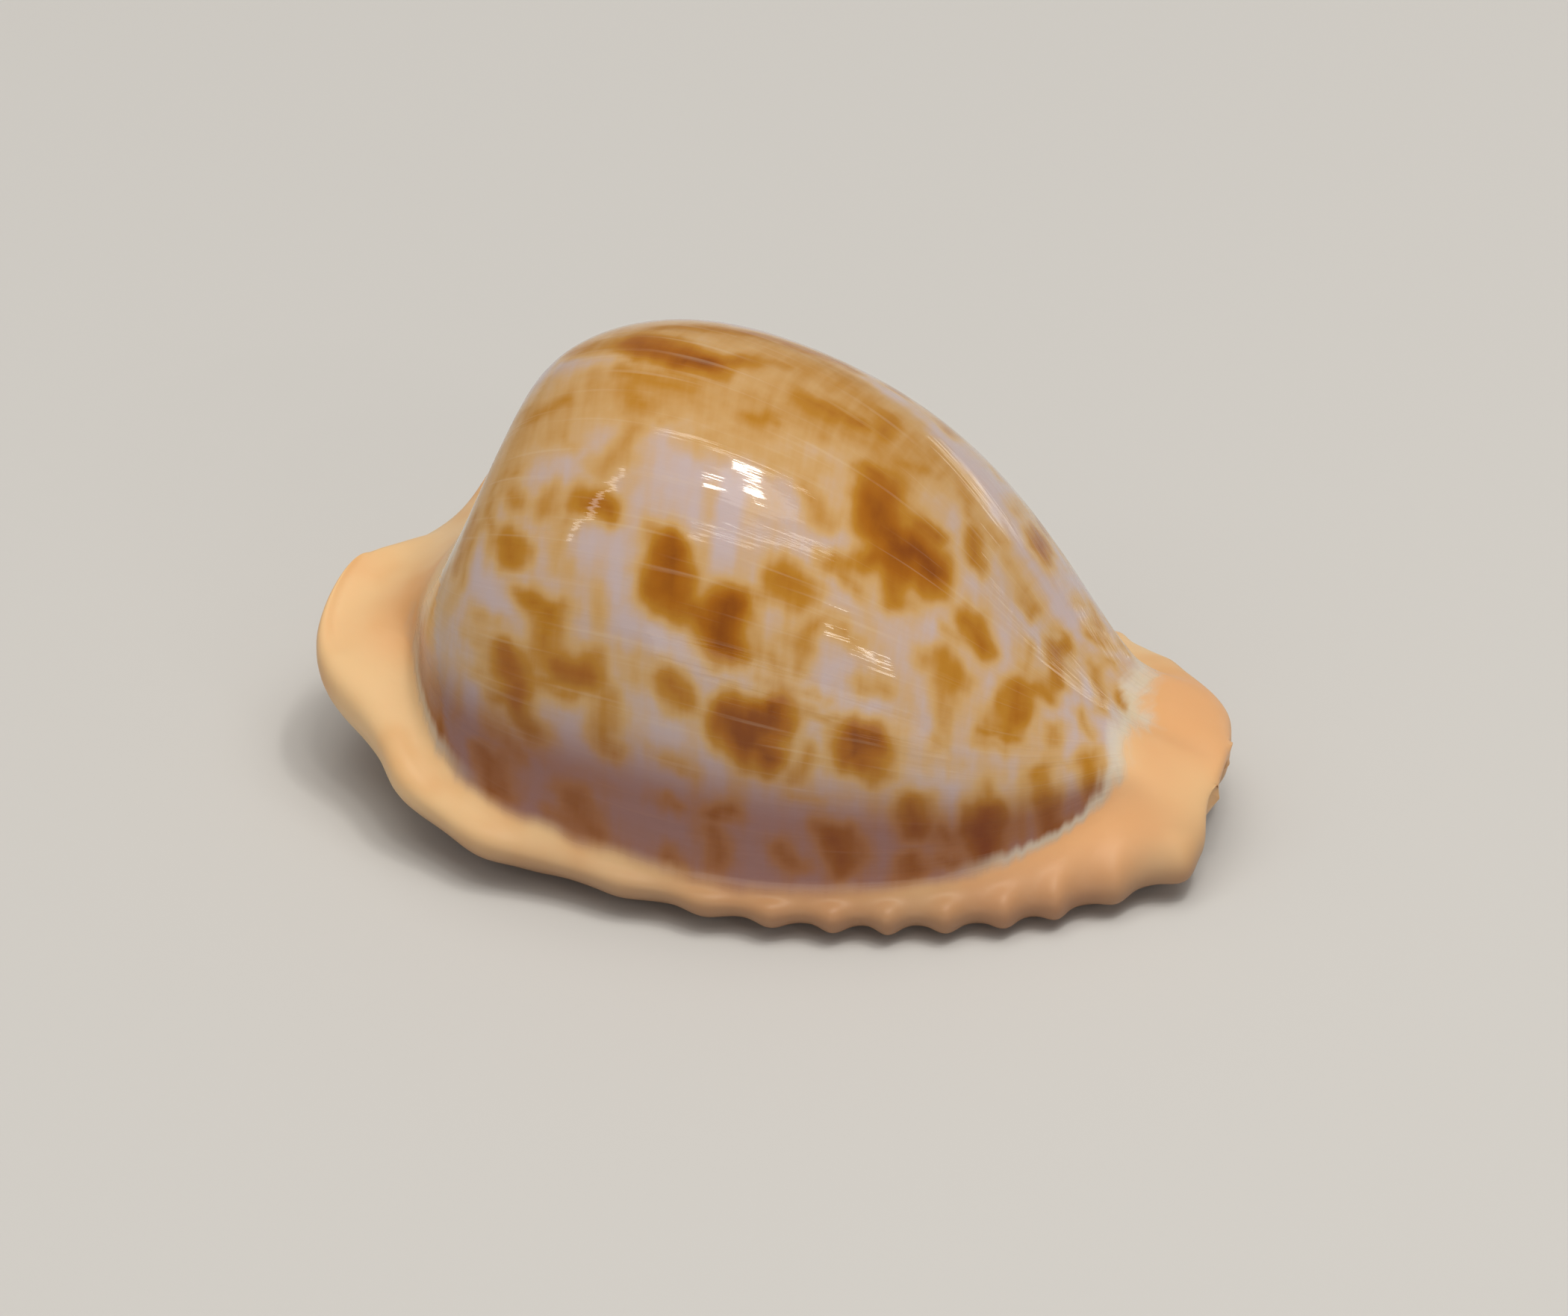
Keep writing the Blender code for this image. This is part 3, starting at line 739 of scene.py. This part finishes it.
def climbs(outside, place):
    """Return each outside point's climb, 0 in one valley, 1 on the ridge and 2 in the other,
    and the length in mm of the side of the back that it is on."""
    arc = np.cumsum(np.linalg.norm(np.diff(outside, axis=1), axis=2), axis=1)
    arc = np.concatenate([np.zeros((len(outside), 1)), arc], axis=1)
    places = (VALLEY_PLACE, RIDGE_PLACE, LAST_PLACE - VALLEY_PLACE)
    rows = [int(np.argmin(abs(place - at))) for at in places]
    near, top, far = (arc[:, [row]] for row in rows)
    climb = np.where(arc < top, (arc - near) / (top - near), 1 + (arc - top) / (far - top))
    return climb, np.where(arc < top, top - near, far - top)


def blurred(values):
    """Average each point's numbers with those of its neighbours around the ring."""
    shifts = range(-RIM_BLUR, RIM_BLUR + 1)
    return sum(np.roll(values, shift, axis=0) for shift in shifts) / len(shifts)


def rounded_rims(points):
    """Add rings past both ends that draw the wall in to a rounded rim."""
    grids = [points]
    for end, beside, back in ((0, 1, True), (-1, -2, False)):
        ring = points[end]
        forward = blurred(blurred(ring - points[beside]))
        forward /= np.linalg.norm(forward, axis=1, keepdims=True)
        others = np.linalg.norm(ring[:, None] - ring[None], axis=2)
        count = len(ring)
        apart = abs(np.arange(count)[:, None] - np.arange(count)[None])
        others[np.minimum(apart, count - apart) < count // RIM_SAME_SIDE] = np.inf
        partner = ring[np.argmin(others, axis=1)]
        inward = partner - ring
        width = np.linalg.norm(inward, axis=1, keepdims=True)
        draw = np.minimum(RIM_RADIUS, RIM_SHARE * width)
        pull = blurred(inward / width * draw)
        reach = blurred(blurred(draw))
        rings = []
        for step in range(1, RIM_STEPS + 1):
            angle = math.pi / 2 * step / RIM_STEPS
            move = pull * (1 - math.cos(angle)) + forward * reach * math.sin(angle)
            rings.append(ring + move)
        extra = np.array(rings[::-1] if back else rings)
        grids = [extra] + grids if back else grids + [extra]
    return np.concatenate(grids)


def with_rims(values):
    """Repeat the values of the first and last ring for the rings that the rims add."""
    first, last = (np.repeat(row, RIM_STEPS, axis=0) for row in (values[:1], values[-1:]))
    return np.concatenate([first, values, last])


def shell_grid():
    """Return the shell's points in mm, a closed loop of rows for each ring, with each point's
    station, climb, length of its side of the back, and whether it is inside the hollow."""
    station = np.linspace(-1.0, 1.0, RINGS)
    outside_keys, inside_keys = ring_keys(station)
    outer_steps = OUTER_STEPS + OUTER_STEPS[::-1]
    outside = np.array([ring_rows(keys, outer_steps) for keys in outside_keys])
    place = row_places(outer_steps)
    relief = tooth_heights(station, place) + knob_heights(station, place)
    outside += outward(outside) * relief[:, :, None]
    outside[:, :, 2] = np.maximum(outside[:, :, 2], 0.0)
    inner_steps = INNER_STEPS + INNER_STEPS[::-1]
    inside = np.array([ring_rows(keys, inner_steps) for keys in inside_keys])[:, 1:-1]
    climb, climb_mm = climbs(outside, place)
    points = np.concatenate([outside, inside], axis=1)
    low = points.min(axis=(0, 1))
    high = points.max(axis=(0, 1))
    points -= np.array(((low[0] + high[0]) / 2, (low[1] + high[1]) / 2, 0.0))
    blank = np.ones(inside.shape[:2])
    hollow = blank * smooth_step((HOLLOW_END - abs(station)) / HOLLOW_FADE)[:, None]
    marks = {
        "station": np.repeat(station[:, None], points.shape[1], axis=1),
        "climb": np.concatenate([climb, -blank], axis=1),
        "climb_mm": np.concatenate([climb_mm, blank], axis=1),
        "hollow": np.concatenate([0 * climb, hollow], axis=1),
    }
    return rounded_rims(points), {name: with_rims(values) for name, values in marks.items()}


def hidden_marks():
    """Return seeded marks for the side that the photograph doesn't show."""
    chance = random.Random(HIDDEN_SEED)
    marks = []
    for _ in range(HIDDEN_MARKS):
        dark = chance.random() < HIDDEN_DARK_SHARE
        station = chance.uniform(*HIDDEN_STATIONS)
        climb = chance.uniform(*HIDDEN_CLIMBS)
        rise = chance.uniform(*HIDDEN_RISE)
        lean = chance.uniform(*HIDDEN_LEAN)
        width = chance.uniform(*(DARK_WIDTH if dark else LIGHT_WIDTH))
        depth = chance.uniform(*(DARK_DEPTH if dark else LIGHT_DEPTH))
        marks.append((station, climb, station + lean, climb + rise, width, depth))
    return tuple(marks)


def stroke(station, climb, climb_mm, mark, edge):
    """Return a stroke's depth at each point: whole along its middle, soft at its edge."""
    station_a, climb_a, station_b, climb_b, width, depth = mark
    along = STATION_MM * (station - station_a)
    up = climb_mm * (climb - climb_a)
    run = STATION_MM * (station_b - station_a)
    rise = climb_mm * (climb_b - climb_a)
    share = np.clip((along * run + up * rise) / (run ** 2 + rise ** 2), 0.0, 1.0)
    away = np.hypot(along - share * run, up - share * rise)
    return depth / (1 + np.exp(np.clip((away - width) / edge, -30, 30)))


def halo(mark):
    """Return the wider, paler stroke around a mark."""
    return mark[:4] + (mark[4] + HALO_WIDTH, mark[5] * HALO_DEPTH)


def mottle(points, scale, seed):
    """Return smooth noise, -1 to 1, at each point, with features of about 1/scale mm."""
    shift = Vector((seed * 7.3, seed * 3.1, seed * 5.7))
    return np.array([noise.noise(Vector(point) * scale + shift) for point in points])


def wander(points, layers, seed):
    """Return the sum in mm of layers of noise, each given by its reach and scale."""
    return sum(reach * mottle(points, scale, seed + i) for i, (reach, scale) in enumerate(layers))


def laid_out(station, climb, scale):
    """Return points for noise that follows the shell's own directions."""
    return np.stack([station * scale[0], climb * scale[1], np.zeros(len(station))], axis=1)


def pigment(points, station, climb, climb_mm):
    """Return how deep the brown is at each point, from 0 for bare ground to about 1."""
    along = station + wander(points, WANDER_ALONG, 1) / STATION_MM
    up = climb + wander(points, WANDER_UP, 3) / climb_mm
    up += FINGER_REACH * mottle(laid_out(station, climb, FINGER_SCALE), 1.0, 7) / climb_mm
    columns = COLUMN_DEPTH * mottle(laid_out(station, climb, COLUMN_SCALE), 1.0, 5)
    veil = VEIL + columns + BROAD_DEPTH * mottle(points, BROAD_SCALE, 6)
    haze = np.clip(veil, 0, 1) ** JOIN_POWER
    for patch in HAZE:
        haze += stroke(along, up, climb_mm, patch, HAZE_EDGE) ** JOIN_POWER
    for bare in BARE_GROUND:
        haze *= 1 - stroke(along, up, climb_mm, bare, HAZE_EDGE)
    marks = np.zeros(len(points))
    for mark in MARKS + hidden_marks():
        marks += stroke(along, up, climb_mm, mark, MARK_EDGE) ** JOIN_POWER
        marks += stroke(along, up, climb_mm, halo(mark), HAZE_EDGE) ** JOIN_POWER
    return (haze + marks) ** (1 / JOIN_POWER)


def glaze_edge(station, climb):
    """Return the distance in mm from the pattern's edge: above 0 on the glazed back."""
    side = np.minimum(climb, 2 - climb)
    rear_rows, front_rows, low_rows = (np.array(rows) for rows in (REAR_EDGE, FRONT_EDGE, LOW_EDGE))
    rear = station - np.interp(side, rear_rows[:, 0], rear_rows[:, 1])
    front = np.interp(side, front_rows[:, 0], front_rows[:, 1]) - station
    low = side - np.interp(station, low_rows[:, 0], low_rows[:, 1])
    distances = np.stack([rear * STATION_MM, front * STATION_MM, low * CLIMB_MM])
    return -np.log(np.exp(-distances * EDGE_CORNERS).sum(axis=0)) / EDGE_CORNERS


def shell_mesh():
    """Build the shell's fine mesh from a flat grid that is wrapped along the rings."""
    points, marks = shell_grid()
    rings, rows = points.shape[:2]
    bm = bmesh.new()
    bmesh.ops.create_grid(bm, x_segments=rings - 1, y_segments=rows, size=1.0)
    number = bm.verts.layers.int.new("number")
    for vertex in bm.verts:
        ring = round((vertex.co.x + 1) / 2 * (rings - 1))
        row = round((vertex.co.y + 1) / 2 * rows) % rows
        vertex.co = points[ring, row] * MM
        vertex[number] = ring * rows + row
    bmesh.ops.remove_doubles(bm, verts=bm.verts, dist=WELD_DISTANCE)
    canal_mouths = [edge for edge in bm.edges if edge.is_boundary]
    rims = bmesh.ops.holes_fill(bm, edges=canal_mouths, sides=0)["faces"]
    bmesh.ops.triangulate(bm, faces=rims)
    bmesh.ops.recalc_face_normals(bm, faces=bm.faces)
    mesh = bpy.data.meshes.new("cowrie_shell")
    bm.to_mesh(mesh)
    bm.free()
    mesh.shade_smooth()
    order = np.zeros(len(mesh.vertices), dtype=np.int32)
    mesh.attributes["number"].data.foreach_get("value", order)
    mesh.attributes.remove(mesh.attributes["number"])
    flat = points.reshape(-1, 3)[order]
    station, climb, climb_mm, hollow = (marks[name].reshape(-1)[order] for name in marks)
    values = {
        "station": station,
        "climb": climb,
        "pigment": pigment(flat, station, climb, climb_mm),
        "glaze_edge": glaze_edge(station, climb),
        "hollow": hollow,
    }
    for name, value in values.items():
        attribute = mesh.attributes.new(name, "FLOAT", "POINT")
        attribute.data.foreach_set("value", value.astype(np.float32))
    return mesh


class Nodes:
    """A short way to write a material's nodes."""

    def __init__(self, material):
        self.tree = material.node_tree

    def add(self, kind, inputs=(), **settings):
        """Add a node, set its options, and link or set its inputs by name or number."""
        node = self.tree.nodes.new(kind)
        for name, value in settings.items():
            setattr(node, name, value)
        for name, value in dict(inputs).items():
            if isinstance(value, bpy.types.NodeSocket):
                self.tree.links.new(value, node.inputs[name])
            else:
                node.inputs[name].default_value = value
        return node

    def attribute(self, name):
        """Return a mesh attribute's number."""
        return self.add("ShaderNodeAttribute", attribute_name=name).outputs["Fac"]

    def math(self, operation, first, second=0.0):
        """Return the result of an operation on one or two numbers."""
        return self.add("ShaderNodeMath", {0: first, 1: second}, operation=operation).outputs[0]

    def ramp(self, value, low, high, start=0.0, end=1.0):
        """Return a smooth ramp of a value, from start at low to end at high."""
        inputs = {"Value": value, "From Min": low, "From Max": high, "To Min": start, "To Max": end}
        return self.add("ShaderNodeMapRange", inputs, interpolation_type="SMOOTHSTEP").outputs[0]

    def blend(self, share, first, second, kind="MIX"):
        """Return a mix of two colours, or the first one multiplied by the second."""
        node = self.add("ShaderNodeMix", {"Factor": share}, data_type="RGBA", blend_type=kind)
        for name, value in (("A", first), ("B", second)):
            socket = [s for s in node.inputs if s.name == name and s.type == "RGBA"][0]
            if isinstance(value, bpy.types.NodeSocket):
                self.tree.links.new(value, socket)
            else:
                socket.default_value = value
        return [s for s in node.outputs if s.type == "RGBA"][0]

    def grain(self, vector, scale, detail=2.0):
        """Return noise, 0 to 1, at a vector."""
        inputs = {"Vector": vector, "Scale": scale, "Detail": detail}
        return self.add("ShaderNodeTexNoise", inputs).outputs["Fac"]

    def stretched_grain(self, vector, scales):
        """Return noise, 0 to 1, with its own scale along each axis."""
        mapping = self.add("ShaderNodeMapping", {"Vector": vector, "Scale": scales})
        return self.grain(mapping.outputs[0], 1.0)

    def sway(self, grain, reach):
        """Return noise moved to lie around 0, and scaled."""
        return self.math("MULTIPLY", self.math("SUBTRACT", grain, 0.5), reach)


def back_colour(nodes, station, climb, line_grain, depth):
    """Return the colour of the glazed back, from how deep the brown is, with painted shade in the
    mauve at its foot.
    """
    colour = nodes.blend(nodes.ramp(depth, 0.10, 0.40), GROUND, TAN)
    colour = nodes.blend(nodes.ramp(depth, 0.32, 0.60), colour, AMBER)
    colour = nodes.blend(nodes.ramp(depth, 0.54, 0.86), colour, BROWN)
    colour = nodes.blend(nodes.ramp(depth, 0.80, 1.06), colour, UMBER)
    colour = nodes.blend(nodes.ramp(line_grain, 0.56, 0.76, 0.0, 0.17), colour, THREAD)
    # Mauve at the foot of the back: partly the shell's own tint, partly painted shade of the
    # down-facing flank
    side = nodes.math("MINIMUM", climb, nodes.math("SUBTRACT", 2.0, climb))
    foot = nodes.math("MULTIPLY", nodes.ramp(side, 0.30, 0.12), 0.85)
    return nodes.blend(foot, colour, MAUVE_TINT_AND_SHADE, "MULTIPLY")


def callus_colour(nodes, place, broad_grain):
    """Return the colour of the callus, mottled, with painted shade darkening it toward its foot."""
    colour = nodes.blend(nodes.ramp(broad_grain, 0.35, 0.65), CREAM, APRICOT)
    patches = nodes.ramp(nodes.grain(place, 120.0), 0.46, 0.68, 0.0, 0.8)
    colour = nodes.blend(patches, colour, PEACH)
    height = nodes.add("ShaderNodeSeparateXYZ", {"Vector": place}).outputs["Z"]
    # Painted shade: the callus darkens toward the floor
    return nodes.blend(nodes.ramp(height, 0.0030, 0.0006, 0.0, 0.85), colour, CALLUS_PAINTED_SHADE)


def glazed_shell():
    """Return the shell's material: brown marks under glaze, and the cream callus around them."""
    material = bpy.data.materials.new("glazed_shell")
    material.use_nodes = True
    nodes = Nodes(material)
    shader = material.node_tree.nodes["Principled BSDF"]
    station = nodes.attribute("station")
    climb = nodes.attribute("climb")
    place = nodes.add("ShaderNodeTexCoord").outputs["Object"]
    surface = nodes.add("ShaderNodeCombineXYZ", {0: station, 1: climb}).outputs[0]
    column_grain = nodes.stretched_grain(surface, (40, 3, 1))
    line_grain = nodes.stretched_grain(surface, (3, 75, 1))
    swell_grain = nodes.stretched_grain(surface, (2.5, 15, 1))
    fine_grain = nodes.grain(place, 1400.0)
    broad_grain = nodes.grain(place, 260.0)

    # How deep the brown is, and the colour of the back
    depth = nodes.math("ADD", nodes.attribute("pigment"), nodes.sway(column_grain, 0.16))
    depth = nodes.math("ADD", depth, nodes.sway(fine_grain, 0.14))
    colour = back_colour(nodes, station, climb, line_grain, depth)

    # The pattern's edge, ragged at the ends of the back, with a pale fringe there
    from_middle = nodes.math("ABSOLUTE", station)
    ends = nodes.ramp(from_middle, 0.42, 0.62)
    ragged = nodes.ramp(from_middle, 0.42, 0.62, 0.15, 1.0)
    sways = nodes.math("ADD", nodes.sway(broad_grain, 1.2), nodes.sway(column_grain, ragged))
    edge = nodes.math("ADD", nodes.attribute("glaze_edge"), sways)
    fringe = nodes.math("MULTIPLY", nodes.ramp(edge, 0.95, 0.25), nodes.math("MULTIPLY", ends, 0.7))
    colour = nodes.blend(fringe, colour, FRINGE)

    # The callus past that edge, and the inside
    callus = nodes.ramp(edge, 0.40, -0.40)
    colour = nodes.blend(callus, colour, callus_colour(nodes, place, broad_grain))
    colour = nodes.blend(nodes.attribute("hollow"), colour, INSIDE)
    nodes.tree.links.new(colour, shader.inputs["Base Color"])
    roughness = nodes.ramp(callus, 0.0, 1.0, GLAZE_ROUGHNESS, CALLUS_ROUGHNESS)
    nodes.tree.links.new(roughness, shader.inputs["Roughness"])

    # Faint growth lines and swells in the glaze, and a fine grain on the callus
    line_height = nodes.math("MULTIPLY", line_grain, 0.9)
    swell_height = nodes.math("MULTIPLY", swell_grain, 4.0)
    glaze_height = nodes.math("ADD", line_height, swell_height)
    glaze_height = nodes.math("MULTIPLY", glaze_height, nodes.ramp(callus, 0.0, 1.0, 1.0, 0.0))
    callus_height = nodes.math("MULTIPLY", fine_grain, nodes.ramp(callus, 0.0, 1.0, 0.0, 1.5))
    bumps = nodes.add("ShaderNodeBump", {
        "Height": nodes.math("ADD", glaze_height, callus_height),
        "Distance": BUMP_DISTANCE,
        "Strength": 1.0,
    })
    nodes.tree.links.new(bumps.outputs[0], shader.inputs["Normal"])
    shader.inputs["Subsurface Weight"].default_value = GLOW_WEIGHT
    shader.inputs["Subsurface Radius"].default_value = GLOW_COLOUR_RADII
    shader.inputs["Subsurface Scale"].default_value = GLOW_SCALE
    shader.inputs["IOR"].default_value = GLAZE_IOR
    return material


def pale_floor():
    """Add the plain pale floor that the shell lies on."""
    bpy.ops.mesh.primitive_plane_add(size=FLOOR_SIZE, location=(0.0, 0.0, -FLOOR_DROP))
    floor = bpy.context.object
    floor.name = "floor"
    material = bpy.data.materials.new("pale_floor")
    material.use_nodes = True
    shader = material.node_tree.nodes["Principled BSDF"]
    shader.inputs["Base Color"].default_value = FLOOR_GREY
    shader.inputs["Roughness"].default_value = FLOOR_ROUGHNESS
    floor.data.materials.append(material)


def sky():
    """Light everything softly from all sides."""
    world = bpy.data.worlds.new("studio")
    world.use_nodes = True
    background = world.node_tree.nodes["Background"]
    background.inputs["Color"].default_value = SKY_COLOUR
    background.inputs["Strength"].default_value = SKY_STRENGTH
    bpy.context.scene.world = world


def direction(azimuth, elevation):
    """Return the unit vector from the shell towards a bearing, as the camera's are given."""
    around = math.radians(azimuth)
    above = math.radians(elevation)
    level = math.cos(above)
    return Vector((math.sin(around) * level, -math.cos(around) * level, math.sin(above)))


def lamp(name, azimuth, elevation, distance, width, height, power, mirrored=True):
    """Add a rectangular lamp that faces the shell, and say whether the glaze mirrors it."""
    data = bpy.data.lights.new(name, "AREA")
    data.shape = "RECTANGLE"
    data.size = width
    data.size_y = height
    data.energy = power
    data.color = LAMP_COLOUR
    light = bpy.data.objects.new(name, data)
    light.visible_glossy = mirrored
    toward_lamp = direction(azimuth, elevation)
    light.location = Vector((0.0, 0.0, LAMP_AIM_HEIGHT)) + toward_lamp * distance
    light.rotation_euler = toward_lamp.to_track_quat("Z", "Y").to_euler()
    bpy.context.scene.collection.objects.link(light)


def lamps():
    """Add the soft studio lamps, and the small ones that the glaze mirrors."""
    lamp("overhead_box", 60.0, 84.0, 0.7, 0.70, 0.70, 2.9, mirrored=False)
    lamp("front_strip", 16.0, 8.0, 0.9, 1.10, 0.24, 0.9)
    lamp("glow", 55.0, 70.0, 0.45, 0.17, 0.12, 0.13)
    lamp("spot_a", 82.0, 75.0, 0.45, 0.034, 0.044, 0.20)
    lamp("spot_b", 60.0, 71.0, 0.45, 0.026, 0.026, 0.12)
    lamp("spot_c", 24.0, 72.0, 0.45, 0.050, 0.016, 0.12)
    lamp("line_low", 35.0, 58.0, 0.5, 0.40, 0.010, 0.08)
    lamp("line_high", 100.0, 82.0, 0.5, 0.012, 0.40, 0.10)
    for azimuth, elevation in WINDOW_BARS:
        lamp("window", azimuth, elevation, 0.6, 0.08, 0.009, 0.036)
    lamp("left_strip", -48.0, 44.0, 0.6, 0.02, 0.26, 0.10)
    lamp("rear_strip", 158.0, 2.5, 0.6, 0.16, 0.025, 0.035)


def camera():
    """Set the camera at the photograph's angle."""
    data = bpy.data.cameras.new("camera")
    data.lens = CAMERA_LENS
    data.sensor_width = CAMERA_SENSOR
    data.clip_end = 10.0
    seen = bpy.data.objects.new("camera", data)
    back = direction(CAMERA_AZIMUTH, CAMERA_ELEVATION)
    around = math.radians(CAMERA_AZIMUTH)
    right = Vector((math.cos(around), math.sin(around), 0.0))
    aim = back.cross(right) * AIM_UP + right * AIM_RIGHT
    seen.location = aim + back * CAMERA_DISTANCE
    seen.rotation_euler = back.to_track_quat("Z", "Y").to_euler()
    bpy.context.scene.collection.objects.link(seen)
    bpy.context.scene.camera = seen


def cowrie():
    """Add the shell."""
    mesh = shell_mesh()
    mesh.materials.append(glazed_shell())
    shell = bpy.data.objects.new("cowrie_shell", mesh)
    bpy.context.scene.collection.objects.link(shell)
    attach(shell, "root")
    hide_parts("shell")


bpy.context.scene.view_settings.view_transform = "Standard"
cowrie()
pale_floor()
sky()
lamps()
camera()
